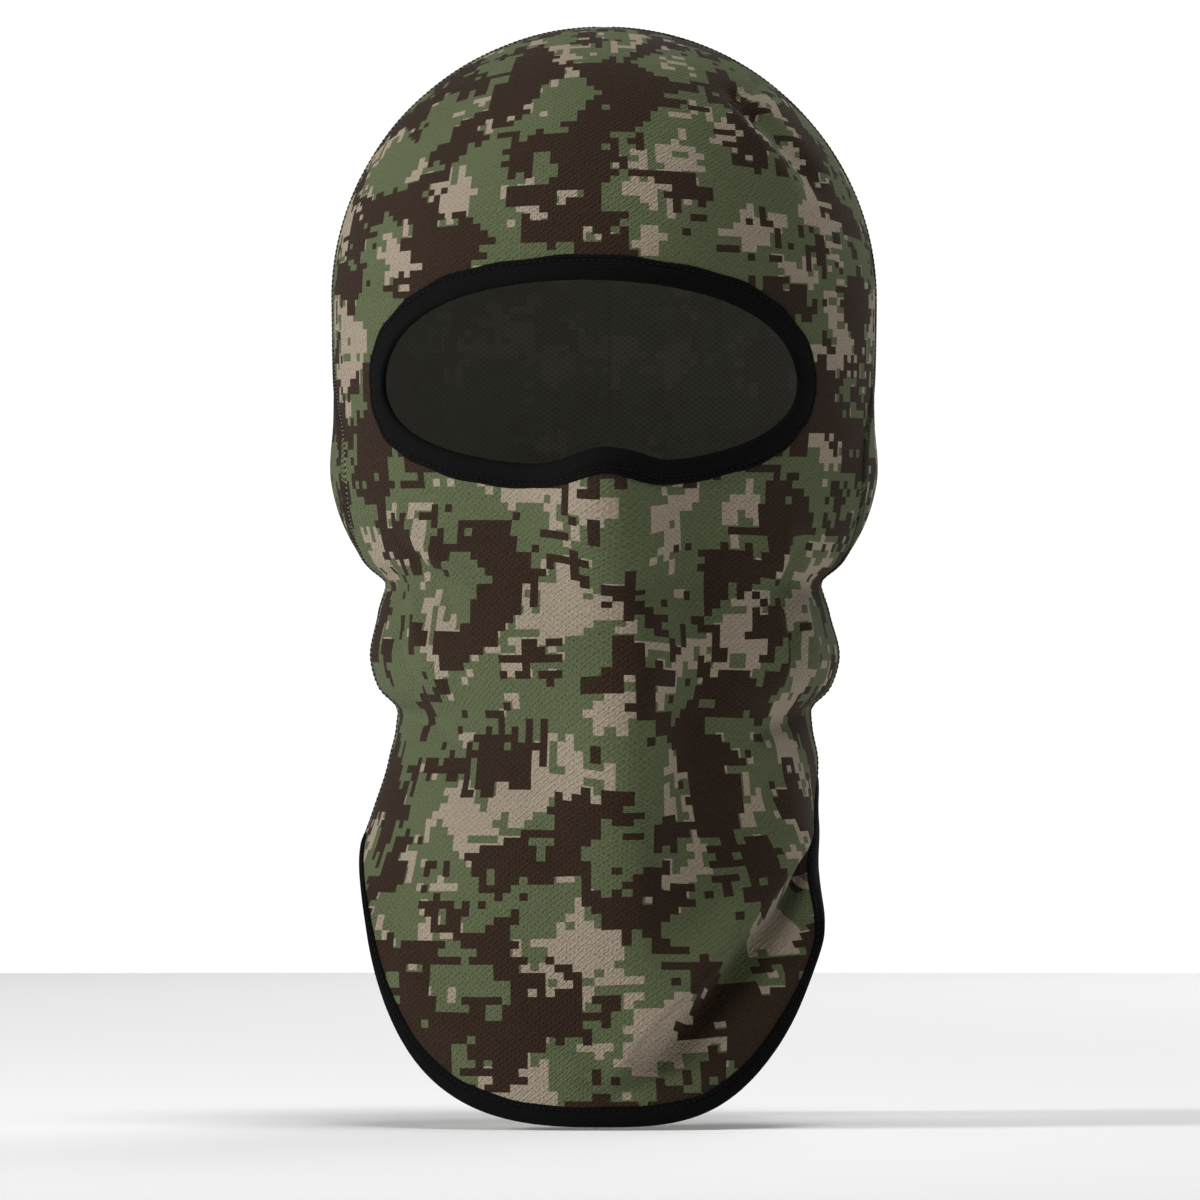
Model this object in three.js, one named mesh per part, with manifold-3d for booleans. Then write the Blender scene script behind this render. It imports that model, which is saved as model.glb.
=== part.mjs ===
// A knitted hood that covers the head, face and neck, with a bound eye opening and a round front bib.
// Millimetres, +Z up, and the face looks along -Y.
// The origin is the middle of the head at its widest level.
import * as THREE from 'three';
import { ParametricGeometry } from 'three/addons/geometries/ParametricGeometry.js';
import { mergeGeometries, mergeVertices } from 'three/addons/utils/BufferGeometryUtils.js';
import Module from 'manifold-3d';

const wasm = await Module();
wasm.setup();

// Head
const CROWN_HEIGHT = 81.6;
const HEAD_HALF_WIDTH = 81.5;
const HEAD_FRONT = 98;
const HEAD_BACK = 101;

// Jaw, neck, collar and bib: how far below the origin, half width, and reach to the front and back
const CHEEK = { depth: 54, halfWidth: 81.6, front: 95, back: 97 };
const JAW = { depth: 86, halfWidth: 67, front: 92, back: 82 };
const JAW_ROLL = { depth: 106, halfWidth: 69.5, front: 92, back: 76 };
const NECK = { depth: 132, halfWidth: 63.6, front: 90, back: 68 };
const COLLAR = { depth: 162, halfWidth: 71, front: 88, back: 70 };
const CHEST = { depth: 190, halfWidth: 72, front: 92, back: 78 };
const BIB_END = { depth: 246, halfWidth: 72, front: 104, back: 92 };

// Nose and chin push the cloth forward
const NOSE = { out: 13, depth: 58, halfWidth: 17, halfHeight: 20 };
const CHIN = { out: 7, depth: 128, halfWidth: 28, halfHeight: 20 };

// The two flaps lie flatter than the neck, and start turning flat at the collar
const FLAP_FLAT_START = 156;
const FLAP_FLAT_END = 190;
const BIB_SAG = 38;
const NAPE_SAG = 30;

// Lower edge: a notch over each shoulder, with a round flap in front and a short one behind
const NOTCH_DEPTH = 158;
const BIB_DROP = 87;
const NAPE_DROP = 54;
const FLAP_ROUNDNESS = 3;
const NOTCH_SOFTNESS = 0.03;
const HEM_RADIUS = 74;

// Eye opening: how far its middle lies along the cloth from the nose, how far below the origin, half
// its length along the cloth, and its reach above and below
const EYE = { centre: -5, depth: 26, halfLength: 71, rise: 30.5, drop: 24.5 };
const NOSE_NOTCH = { rise: 4.6, halfWidth: 12 };

// Seam between the face panel and the back panels: it bows forward over each cheek
const SEAM_Y = 0;
const SEAM_BOW = { forward: 31, depth: 52, halfHeight: 26 };
const SEAM_WIDTH = 5;

// Cloth, tape, thread and label
const CLOTH = 1.6;
const TAPE_EXTRA = 0.5;
const EYE_TAPE_WIDTH = 7.5;
const HEM_TAPE_WIDTH = 6;
const THREAD_THICKNESS = 0.5;
const STITCH_WIDTH = 1;
const STITCH_INSET = 1.2;
const LABEL = { width: 22, height: 26, depth: 122, thickness: 0.5 };
const GAP = 0.3;

// Both flaps fold along one level
const FOLD_DEPTH = 172;

// Facets, and how finely curves are sampled
const COLUMNS = 52;
const DOME_ROWS = 7;
const FACE_ROWS = 9;
const COLLAR_ROWS = 6;
const STRAIGHT_DEPTH = 120;
const OUTLINE_POINTS = 44;
const SEAM_POINTS = 24;
const SEAM_BOW_SPAN = 3;
const WELD = 1e-4;
const CUTTER_NEAR = 0.3;
const CUTTER_FAR = 3;
const NORMAL_STEP = 0.01;
const REACH = 400;

const LEVELS = [
  { depth: 0, halfWidth: HEAD_HALF_WIDTH, front: HEAD_FRONT, back: HEAD_BACK },
  CHEEK, JAW, JAW_ROLL, NECK, COLLAR, CHEST, BIB_END,
];
const levelCurve = new THREE.CubicInterpolant(
  LEVELS.map((level) => level.depth),
  LEVELS.flatMap((level) => [level.halfWidth, level.front, level.back]),
  3,
);

function bump(shape, x, depth) {
  const across = (x / shape.halfWidth) ** 2;
  const down = ((depth - shape.depth) / shape.halfHeight) ** 2;
  return shape.out * Math.exp(-across - down);
}

// A place on the cloth's outer face. `turn` is the angle from the front, and `down` is the
// distance along the cloth below the widest level, negative over the dome.
function surfacePoint(turn, down) {
  const overDome = down < 0;
  const tilt = overDome ? Math.min(-down / CROWN_HEIGHT, Math.PI / 2) : 0;
  const depth = overDome ? 0 : down;
  const [halfWidth, front, back] = levelCurve.evaluate(Math.min(depth, BIB_END.depth));
  const across = Math.sin(turn);
  const along = Math.cos(turn);
  const isFront = along >= 0;
  const reach = isFront ? front : back;
  const sag = isFront ? BIB_SAG : NAPE_SAG;
  const flat = THREE.MathUtils.smoothstep(depth, FLAP_FLAT_START, FLAP_FLAT_END);
  const curved = reach * Math.abs(along);
  const shallow = reach - sag * across ** 2;
  const shrink = Math.cos(tilt);
  const x = halfWidth * across * shrink;
  const away = THREE.MathUtils.lerp(curved, shallow, flat) * shrink;
  const face = isFront ? (bump(NOSE, x, depth) + bump(CHIN, x, depth)) * along * shrink : 0;
  const z = overDome ? CROWN_HEIGHT * Math.sin(tilt) : -depth;
  return new THREE.Vector3(x, isFront ? -away - face : away, z);
}

function surfaceNormal(turn, down) {
  const step = NORMAL_STEP;
  const sideways = surfacePoint(turn + step, down).sub(surfacePoint(turn - step, down));
  const downwards = surfacePoint(turn, down + step).sub(surfacePoint(turn, down - step));
  const atCrown = sideways.length() < step;
  if (atCrown) return new THREE.Vector3(0, 0, 1);
  return downwards.cross(sideways).normalize();
}

// A place `out` millimetres outside the cloth's outer face
function offsetPoint(turn, down, out) {
  return surfacePoint(turn, down).addScaledVector(surfaceNormal(turn, down), out);
}

function hemDepth(turn) {
  const drop = Math.cos(turn) >= 0 ? BIB_DROP : NAPE_DROP;
  const across = Math.abs(Math.sin(turn)) ** FLAP_ROUNDNESS;
  const curve = (value) => (value + NOTCH_SOFTNESS) ** (1 / FLAP_ROUNDNESS);
  return NOTCH_DEPTH + (drop * (curve(1 - across) - curve(0))) / (curve(1) - curve(0));
}

// The place `inset` millimetres inside the lower edge, as a turn and a depth
function hemPlace(turn, inset) {
  const step = NORMAL_STEP;
  const slope = (hemDepth(turn + step) - hemDepth(turn - step)) / (2 * step * HEM_RADIUS);
  const length = Math.hypot(slope, 1);
  const sideways = (inset * slope) / (length * HEM_RADIUS);
  return { turn: turn + sideways, depth: hemDepth(turn) - inset / length };
}

// Row 0 is the crown and the last row is the lower edge, less the inset
const ROWS = DOME_ROWS + FACE_ROWS + COLLAR_ROWS;

function rowPlace(turn, row, inset) {
  if (row <= DOME_ROWS) {
    return { turn, down: ((row / DOME_ROWS - 1) * Math.PI * CROWN_HEIGHT) / 2 };
  }
  if (row <= DOME_ROWS + FACE_ROWS) {
    return { turn, down: ((row - DOME_ROWS) / FACE_ROWS) * STRAIGHT_DEPTH };
  }
  const share = (row - DOME_ROWS - FACE_ROWS) / COLLAR_ROWS;
  const end = hemPlace(turn, inset);
  return {
    turn: THREE.MathUtils.lerp(turn, end.turn, share),
    down: THREE.MathUtils.lerp(STRAIGHT_DEPTH, end.depth, share),
  };
}

function toSolid(geometry) {
  const bare = geometry.clone();
  bare.deleteAttribute('normal');
  bare.deleteAttribute('uv');
  const merged = mergeVertices(bare, WELD);
  const corners = [];
  for (let i = 0; i < merged.index.count; i += 3) {
    const [a, b, c] = merged.index.array.slice(i, i + 3);
    if (a !== b && b !== c && c !== a) corners.push(a, b, c);
  }
  return new wasm.Manifold(new wasm.Mesh({
    numProp: 3,
    vertProperties: new Float32Array(merged.attributes.position.array),
    triVerts: new Uint32Array(corners),
  }));
}

// One face of a skin. A flipped face points the other way, with the same facets.
function sheet(place, rows, flipped) {
  const geometry = new ParametricGeometry((u, v, target) => target.copy(place(u, v)), COLUMNS, rows);
  if (flipped) geometry.index.array.reverse();
  return geometry;
}

// A closed skin over the whole hood between two offsets from the cloth's outer face
function hoodSkin(inner, outer, inset) {
  const place = (u, row, out) => {
    const spot = rowPlace(-u * 2 * Math.PI, row, inset);
    return offsetPoint(spot.turn, spot.down, out);
  };
  const face = (out) => (u, v) => place(u, Math.round(v * ROWS), out);
  const rim = (u, v) => place(u, ROWS, v < 0.5 ? outer : inner);
  return toSolid(mergeGeometries([
    sheet(face(outer), ROWS, false),
    sheet(face(inner), ROWS, true),
    sheet(rim, 1, false),
  ]));
}

// A closed band along the lower edge, with a rectangular section
function hemBand(insetLow, insetHigh, inner, outer) {
  const place = (u, inset, out) => {
    const spot = hemPlace(-u * 2 * Math.PI, inset);
    return offsetPoint(spot.turn, spot.depth, out);
  };
  const face = (out) => (u, v) => place(u, THREE.MathUtils.lerp(insetHigh, insetLow, v), out);
  const edge = (inset) => (u, v) => place(u, inset, v < 0.5 ? outer : inner);
  return toSolid(mergeGeometries([
    sheet(face(outer), 1, false),
    sheet(face(inner), 1, true),
    sheet(edge(insetLow), 1, false),
    sheet(edge(insetHigh), 1, true),
  ]));
}

function block(minX, maxX, minY, maxY, minZ, maxZ) {
  const box = new THREE.BoxGeometry(maxX - minX, maxY - minY, maxZ - minZ);
  box.translate((minX + maxX) / 2, (minY + maxY) / 2, (minZ + maxZ) / 2);
  return toSolid(box);
}

// The eye opening's outline, widened by a margin and run through the front. It is laid out along the
// cloth, so it wraps round the head.
function eyeCutter(margin) {
  const points = [];
  for (let i = 0; i < OUTLINE_POINTS; i += 1) {
    const angle = (i / OUTLINE_POINTS) * 2 * Math.PI;
    const along = EYE.centre + (EYE.halfLength + margin) * Math.cos(angle);
    const upper = Math.sin(angle) >= 0;
    const reach = (upper ? EYE.rise : EYE.drop) + margin;
    const fromNose = along / NOSE_NOTCH.halfWidth;
    const notch = upper ? 0 : NOSE_NOTCH.rise * Math.exp(-(fromNose ** 2));
    points.push(new THREE.Vector2(along, -EYE.depth + reach * Math.sin(angle) + notch));
  }
  const depth = CUTTER_FAR - CUTTER_NEAR;
  const outline = new THREE.ExtrudeGeometry(new THREE.Shape(points), { depth, bevelEnabled: false });
  const places = outline.attributes.position;
  for (let i = 0; i < places.count; i += 1) {
    const turn = places.getX(i) / HEAD_HALF_WIDTH;
    const share = CUTTER_NEAR + places.getZ(i);
    const x = share * HEAD_HALF_WIDTH * Math.sin(turn);
    const y = -share * HEAD_FRONT * Math.cos(turn);
    places.setXYZ(i, x, y, places.getY(i));
  }
  return toSolid(outline);
}

function seamY(z) {
  const fromBow = (-z - SEAM_BOW.depth) / SEAM_BOW.halfHeight;
  return SEAM_Y - SEAM_BOW.forward * Math.exp(-(fromBow ** 2));
}

// Everything between two lines that run `front` and `back` millimetres behind the seam
function seamCutter(front, back) {
  const heights = [-REACH];
  const span = SEAM_BOW_SPAN * SEAM_BOW.halfHeight;
  for (let i = 0; i <= SEAM_POINTS; i += 1) {
    heights.push(-SEAM_BOW.depth + span * ((2 * i) / SEAM_POINTS - 1));
  }
  heights.push(REACH);
  const ahead = heights.map((z) => new THREE.Vector2(Math.max(seamY(z) + front, -REACH), z));
  const behind = heights.map((z) => new THREE.Vector2(Math.min(seamY(z) + back, REACH), z));
  const outline = new THREE.Shape([...behind, ...ahead.reverse()]);
  const slab = new THREE.ExtrudeGeometry(outline, { depth: 2 * REACH, bevelEnabled: false });
  slab.translate(0, 0, -REACH);
  slab.rotateX(Math.PI / 2);
  slab.rotateZ(Math.PI / 2);
  return toSolid(slab);
}

const halfGap = GAP / 2;
const inFront = seamCutter(-REACH, -halfGap);
const behind = seamCutter(halfGap, REACH);
const onLeft = block(-REACH, -halfGap, -REACH, REACH, -REACH, REACH);
const onRight = block(halfGap, REACH, -REACH, REACH, -REACH, REACH);
const aboveFold = block(-REACH, REACH, -REACH, REACH, -FOLD_DEPTH + halfGap, REACH);
const frontFlap = block(-REACH, REACH, -REACH, -GAP, -REACH, -FOLD_DEPTH - halfGap);
const backFlap = block(-REACH, REACH, GAP, REACH, -REACH, -FOLD_DEPTH - halfGap);

const tapeInner = -CLOTH - TAPE_EXTRA;
const tapeOuter = TAPE_EXTRA;
const stitchInner = tapeOuter + GAP;
const stitchOuter = stitchInner + THREAD_THICKNESS;
const clothInset = HEM_TAPE_WIDTH + GAP;

const cloth = hoodSkin(-CLOTH, 0, clothInset);
const clothBehind = cloth.intersect(behind);
const backHood = clothBehind.intersect(aboveFold);
const nape = clothBehind.intersect(backFlap);

const eyeHole = eyeCutter(EYE_TAPE_WIDTH + GAP);
const eyeRing = eyeCutter(EYE_TAPE_WIDTH).subtract(eyeCutter(0));
const stitchEdge = EYE_TAPE_WIDTH - STITCH_INSET;
const eyeStitchRing = eyeCutter(stitchEdge).subtract(eyeCutter(stitchEdge - STITCH_WIDTH));

const hemTape = hemBand(0, HEM_TAPE_WIDTH, tapeInner, tapeOuter);
const hemStitchEdge = HEM_TAPE_WIDTH - STITCH_INSET;
const hemStitch = hemBand(hemStitchEdge - STITCH_WIDTH, hemStitchEdge, stitchInner, stitchOuter);

const seamSkin = hoodSkin(GAP, GAP + THREAD_THICKNESS, clothInset);
const sideSeams = seamSkin.intersect(seamCutter(-SEAM_WIDTH / 2, SEAM_WIDTH / 2)).intersect(aboveFold);
const backStrip = block(-SEAM_WIDTH / 2, SEAM_WIDTH / 2, -REACH, REACH, -REACH, REACH);
const backSeam = seamSkin.intersect(backStrip).intersect(seamCutter(SEAM_WIDTH / 2 + GAP, REACH));

const labelSkin = hoodSkin(-CLOTH - GAP - LABEL.thickness, -CLOTH - GAP, clothInset);
const labelTop = -LABEL.depth;
const labelBlock = block(
  -LABEL.width / 2, LABEL.width / 2, GAP, REACH, labelTop - LABEL.height, labelTop,
);

// Colours and finishes
const CAMO = { color: 0x5d6449, roughness: 0.95, metalness: 0 };
const TAPE = { color: 0x101010, roughness: 0.9, metalness: 0 };
const THREAD = { color: 0x3a352a, roughness: 0.85, metalness: 0 };
const STITCH = { color: 0x1c1c1c, roughness: 0.8, metalness: 0 };
const LABEL_CLOTH = { color: 0xd9d7cf, roughness: 0.7, metalness: 0 };

const mask = new THREE.Group();

function addPiece(name, solid, finish) {
  const mesh = solid.getMesh();
  const geometry = new THREE.BufferGeometry();
  geometry.setAttribute('position', new THREE.BufferAttribute(mesh.vertProperties, 3));
  geometry.setIndex(new THREE.BufferAttribute(mesh.triVerts, 1));
  geometry.computeVertexNormals();
  const piece = new THREE.Mesh(geometry, new THREE.MeshStandardMaterial(finish));
  piece.name = name;
  mask.add(piece);
}

addPiece('face_panel', cloth.intersect(inFront).intersect(aboveFold).subtract(eyeHole), CAMO);
addPiece('bib_panel', cloth.intersect(frontFlap), CAMO);
addPiece('hood_panel_left', backHood.intersect(onLeft), CAMO);
addPiece('hood_panel_right', backHood.intersect(onRight), CAMO);
addPiece('nape_panel_left', nape.intersect(onLeft), CAMO);
addPiece('nape_panel_right', nape.intersect(onRight), CAMO);

const tapeSkin = hoodSkin(tapeInner, tapeOuter, clothInset);
const stitchSkin = hoodSkin(stitchInner, stitchOuter, clothInset);
addPiece('eye_binding', tapeSkin.intersect(eyeRing), TAPE);
addPiece('eye_stitch', stitchSkin.intersect(eyeStitchRing), STITCH);

for (const [band, name, finish] of [[hemTape, 'hem_binding', TAPE], [hemStitch, 'hem_stitch', STITCH]]) {
  addPiece(`${name}_bib`, band.intersect(frontFlap), finish);
  addPiece(`${name}_nape`, band.intersect(backFlap), finish);
  addPiece(`${name}_left`, band.intersect(aboveFold).intersect(onLeft), finish);
  addPiece(`${name}_right`, band.intersect(aboveFold).intersect(onRight), finish);
}

addPiece('side_seam_left', sideSeams.intersect(onLeft), THREAD);
addPiece('side_seam_right', sideSeams.intersect(onRight), THREAD);
addPiece('back_seam', backSeam.intersect(aboveFold), THREAD);
addPiece('nape_seam', backSeam.intersect(backFlap), THREAD);
addPiece('care_label', labelSkin.intersect(labelBlock), LABEL_CLOTH);

export default mask;
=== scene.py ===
"""A thin stretch-knit hood in a small-square camouflage print, with black tape round its eye opening and hem.

Metres, +Z up, and the face looks along -Y. The origin is the middle of the head at its widest level.
On the cloth a place is (turn, down): turn is the angle round the head from the front, and down is the way
down from the widest level, negative over the dome.
"""

import math

import bpy
import numpy as np
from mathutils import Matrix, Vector


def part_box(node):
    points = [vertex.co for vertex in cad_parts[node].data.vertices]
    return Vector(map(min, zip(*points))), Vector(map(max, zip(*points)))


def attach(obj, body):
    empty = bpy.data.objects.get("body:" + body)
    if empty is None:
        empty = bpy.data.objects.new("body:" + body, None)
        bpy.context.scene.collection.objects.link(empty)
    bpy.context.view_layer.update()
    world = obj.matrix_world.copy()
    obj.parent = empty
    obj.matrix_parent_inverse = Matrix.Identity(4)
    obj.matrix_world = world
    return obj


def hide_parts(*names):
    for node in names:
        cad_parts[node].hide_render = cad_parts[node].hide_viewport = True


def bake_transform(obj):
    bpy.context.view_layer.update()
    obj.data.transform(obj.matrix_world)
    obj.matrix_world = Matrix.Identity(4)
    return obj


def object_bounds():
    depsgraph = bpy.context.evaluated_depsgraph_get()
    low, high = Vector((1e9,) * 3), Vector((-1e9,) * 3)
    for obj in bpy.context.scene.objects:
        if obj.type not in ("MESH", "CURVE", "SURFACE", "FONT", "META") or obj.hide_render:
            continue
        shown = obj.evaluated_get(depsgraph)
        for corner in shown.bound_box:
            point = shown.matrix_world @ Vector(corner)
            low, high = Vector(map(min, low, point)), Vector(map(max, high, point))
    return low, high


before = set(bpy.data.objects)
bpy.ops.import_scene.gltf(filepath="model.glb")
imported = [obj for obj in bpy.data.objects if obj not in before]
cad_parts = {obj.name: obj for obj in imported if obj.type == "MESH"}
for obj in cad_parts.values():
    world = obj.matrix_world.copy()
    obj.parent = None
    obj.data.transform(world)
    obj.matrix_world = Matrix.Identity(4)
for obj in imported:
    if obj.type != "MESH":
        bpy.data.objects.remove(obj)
cad_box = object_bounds()
MM = 0.001


# ---------------------------------------------------------------- sizes

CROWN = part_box("face_panel")[1][2]
BIB_END = -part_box("hem_binding_bib")[0][2]
NAPE_END = -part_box("hem_binding_nape")[0][2]
HEAD_RADIUS = 81.5 * MM
CROWN_PATH = -CROWN * math.pi / 2

# Depth below the widest level, then the reach to the left, the right, the front and the back
LEVELS = np.array([
    (0, 81.4, 81.4, 98, 101),
    (36, 81.2, 81.2, 96.5, 100),
    (55, 81.9, 81.9, 95, 97),
    (66, 78.8, 78.8, 94, 93),
    (78, 72.2, 72.2, 93, 87),
    (86, 66.2, 66.2, 92, 82.5),
    (94, 67.4, 67.4, 92, 79.5),
    (108, 70.0, 70.0, 92, 75.5),
    (116, 67.6, 67.6, 91.5, 72),
    (124, 62.5, 62.6, 90.5, 69.5),
    (138, 64.2, 63.8, 89.5, 68),
    (152, 68.8, 63.6, 88, 69),
    (166, 72.6, 66.0, 88, 70.5),
    (190, 72.8, 69.6, 92, 78),
    (246, 72.5, 70.0, 103, 92),
]) * MM

# Smooth swells over the nose and the chin
NOSE = {"out": 12 * MM, "depth": 57 * MM, "half_width": 17 * MM, "half_height": 21 * MM}
CHIN = {"out": 6 * MM, "depth": 127 * MM, "half_width": 30 * MM, "half_height": 22 * MM}

# The flaps go from round the neck to nearly flat between these depths, and sag back at their sides
FLAT_START, FLAT_END = 156 * MM, 190 * MM
BIB_SAG, NAPE_SAG = 36 * MM, 30 * MM

# The hem: the notch over each shoulder and how much it leans to one side, and how square the flaps are
NOTCH, NOTCH_LEAN = 157 * MM, 8 * MM
HEM_POWER, HEM_POWER_LEAN, HEM_SOFTNESS = 3.0, 0.4, 0.03

# The eye opening, measured along the cloth
EYE_CENTRE, EYE_DEPTH, EYE_HALF = -6 * MM, 26 * MM, 71 * MM
EYE_RISE, EYE_DROP = 30.5 * MM, 24.5 * MM
BRIDGE_RISE, BRIDGE_HALF = 4.6 * MM, 12 * MM

# The side seams bow forwards over the cheeks
SEAM_BOW, SEAM_BOW_DEPTH, SEAM_BOW_HALF = 31 * MM, 52 * MM, 26 * MM
SEAM_WIDTH, RIDGE_STEP = 5 * MM, 2.5 * MM

# How thick the knit is and how far apart its rows of points are
CLOTH, CELL = 0.9 * MM, 1.9 * MM
FACE_COLUMNS, BACK_COLUMNS = 150, 80

# Tape: its widths, the lines where its stitches dip, how proud it stands and what cloth it hides
EYE_TAPE, HEM_TAPE = 7.5 * MM, 6 * MM
EYE_DIP, HEM_DIP = 5.9 * MM, 4.7 * MM
TAPE_OUT, TAPE_STEP = 0.75 * MM, 1.2 * MM
CLOTH_IN_EYE_TAPE, CLOTH_IN_HEM_TAPE = 3 * MM, 2.5 * MM

STITCH_PITCH, STITCH_LENGTH, STITCH_THICK = 2.1 * MM, 1.5 * MM, 0.42 * MM
RUNG_PITCH, RUNG_THICK = 1.5 * MM, 0.28 * MM
LABEL = {"width": 22 * MM, "height": 26 * MM, "depth": 122 * MM, "thick": 0.4 * MM}


# ---------------------------------------------------------------- the worn shape

def smoothstep(value, low, high):
    """0 below low, 1 above high and smooth between them."""
    share = np.clip((value - low) / (high - low), 0, 1)
    return share * share * (3 - 2 * share)


def level_at(depth):
    """Left, right, front and back reach at each depth, on a smooth curve through LEVELS."""
    known, values = LEVELS[:, 0], LEVELS[:, 1:]
    slopes = np.gradient(values, known, axis=0)
    depth = np.clip(depth, known[0], known[-1])
    index = np.clip(np.searchsorted(known, depth) - 1, 0, len(known) - 2)
    span = (known[index + 1] - known[index])[..., None]
    t = (depth - known[index])[..., None] / span
    start = (1 + 2 * t) * (1 - t) ** 2 * values[index] + t * (1 - t) ** 2 * span * slopes[index]
    end = t * t * (3 - 2 * t) * values[index + 1] + t * t * (t - 1) * span * slopes[index + 1]
    return np.moveaxis(start + end, -1, 0)


def swell(shape, x, depth):
    """How far a swell such as the nose pushes the cloth out."""
    across = (x / shape["half_width"]) ** 2
    down = ((depth - shape["depth"]) / shape["half_height"]) ** 2
    return shape["out"] * np.exp(-across - down)


def body_point(turn, down):
    """The worn cloth without its folds."""
    tilt = np.clip(-down / CROWN, 0, math.pi / 2)
    depth = np.maximum(down, 0)
    left, right, front, back = level_at(depth)
    across, along = np.sin(turn), np.cos(turn)
    half = left + (right - left) * (1 + across) / 2
    is_front = along >= 0
    reach = np.where(is_front, front, back)
    sag = np.where(is_front, BIB_SAG, NAPE_SAG)
    flat = smoothstep(depth, FLAT_START, FLAT_END)
    shrink = np.cos(tilt)
    x = half * across * shrink
    curved = reach * np.abs(along)
    shallow = reach - sag * across ** 2
    away = (curved + (shallow - curved) * flat) * shrink
    face = (swell(NOSE, x, depth) + swell(CHIN, x, depth)) * along * shrink
    y = np.where(is_front, -away - face, away)
    z = np.where(down < 0, CROWN * np.sin(tilt), -depth)
    return np.stack([x, y, z], axis=-1)


def unit(vectors):
    return vectors / np.maximum(np.linalg.norm(vectors, axis=-1, keepdims=True), 1e-12)


def body_normal(turn, down):
    """The way out of the cloth, from two short steps along it."""
    step = 0.004
    slide = step * HEAD_RADIUS
    sideways = body_point(turn + step, down) - body_point(turn - step, down)
    downwards = body_point(turn, down + slide) - body_point(turn, down - slide)
    normal = unit(np.cross(downwards, sideways))
    at_crown = np.linalg.norm(sideways, axis=-1, keepdims=True) < 1e-6
    return np.where(at_crown, np.array([0.0, 0.0, 1.0]), normal)


# ---------------------------------------------------------------- folds

# Each fold follows a line of (way round, way down) points. It has a height, a half width on the left as it
# is followed, and a half width on the right, all in millimetres. It rises and dies away over FADE of its
# length, but a fold that reaches the middle of the back meets the one from the other side at full height
FADE = 0.25
MIDDLE_BACK = 250
FOLDS = [
    # the big fold across the bib: its edge, the hollow behind it and the ridge below
    ([(112, 146), (90, 160), (50, 186), (30, 206), (-2, 232)], 6.0, 2.3, 18),
    ([(116, 157), (96, 168), (56, 192), (36, 211), (6, 237)], -7.0, 8.0, 3.2),
    ([(108, 178), (88, 191), (60, 206), (30, 223)], 2.6, 8.0, 4.6),
    # soft fold that crosses the lower left of the bib
    ([(-92, 190), (-60, 214), (-20, 232)], 1.0, 8, 8),
    ([(-96, 176), (-64, 200), (-30, 216)], -0.8, 8, 8),
    # short puckers just above the hem
    ([(-16, 225), (-2, 232), (12, 228)], 1.0, 2.6, 2.2),
    ([(-12, 231), (2, 237), (16, 233)], -1.0, 2.2, 2.2),
    ([(-22, 217), (-8, 224), (4, 222)], -0.7, 2.4, 2.4),
    # the middle ridge from the nose to the chest
    ([(3, 24), (7, 70), (10, 110), (11, 160), (5, 225)], 8.4, 14, 21),
    ([(35, 54), (39, 110), (37, 170)], -4.2, 13, 14),
    # drag lines below one corner of the eye opening
    ([(-74, 60), (-62, 76), (-44, 92)], 1.5, 3.2, 4.5),
    ([(-80, 70), (-66, 88), (-50, 106)], -1.5, 3.6, 3.6),
    ([(-90, 78), (-76, 98), (-62, 120)], 1.5, 3.4, 4.5),
    ([(-96, 92), (-84, 108), (-74, 122)], -1.2, 3.6, 3.6),
    # long fold down the other cheek
    ([(62, 64), (69, 90), (71, 122)], 2.6, 3.4, 8),
    ([(73, 66), (80, 88), (80, 116)], -2.8, 4.5, 4.5),
    ([(86, 84), (92, 104), (90, 120)], 1.2, 5, 5),
    # creases under the jaw, deepest at the sides
    ([(150, 84), (108, 86), (76, 83)], -1.4, 2.6, 3.6),
    ([(-150, 84), (-108, 86), (-76, 82)], -1.4, 3.6, 2.6),
    ([(150, 121), (108, 124), (80, 127), (56, 134)], -1.4, 2.8, 3.6),
    ([(-150, 121), (-108, 124), (-82, 126), (-58, 132)], -1.4, 3.6, 2.8),
    # loose cloth over the throat
    ([(-70, 138), (-40, 150), (-10, 154)], -0.9, 7, 7),
    ([(-80, 150), (-48, 164), (-14, 170)], 0.9, 7, 7),
    ([(84, 136), (58, 156), (30, 172)], -1.1, 7, 7),
    ([(88, 146), (66, 168), (36, 190)], 1.0, 7, 7),
    # pucker where the side seam comes over the crown, and the valley that runs down from it
    ([(122, -80), (90, -74), (71, -68), (56, -71)], -2.8, 2.4, 2.8),
    ([(56, -66), (68, -62), (80, -60)], -2.4, 2.4, 2.8),
    ([(62, -72), (76, -52), (88, -28)], -2.6, 6, 7),
    ([(48, -68), (60, -48), (72, -24)], 1.6, 7, 6),
    # slack rings of cloth at the back of the neck
    ([(170, 100), (215, 106), (256, 104)], -1.6, 6, 6),
    ([(-170, 100), (-215, 106), (-256, 104)], -1.6, 6, 6),
    ([(160, 122), (205, 132), (256, 130)], 1.3, 7, 7),
    ([(-160, 122), (-205, 132), (-256, 130)], 1.3, 7, 7),
    ([(168, 150), (214, 156), (256, 150)], -1.2, 7, 7),
    ([(-168, 150), (-214, 156), (-256, 150)], -1.2, 7, 7),
]


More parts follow.
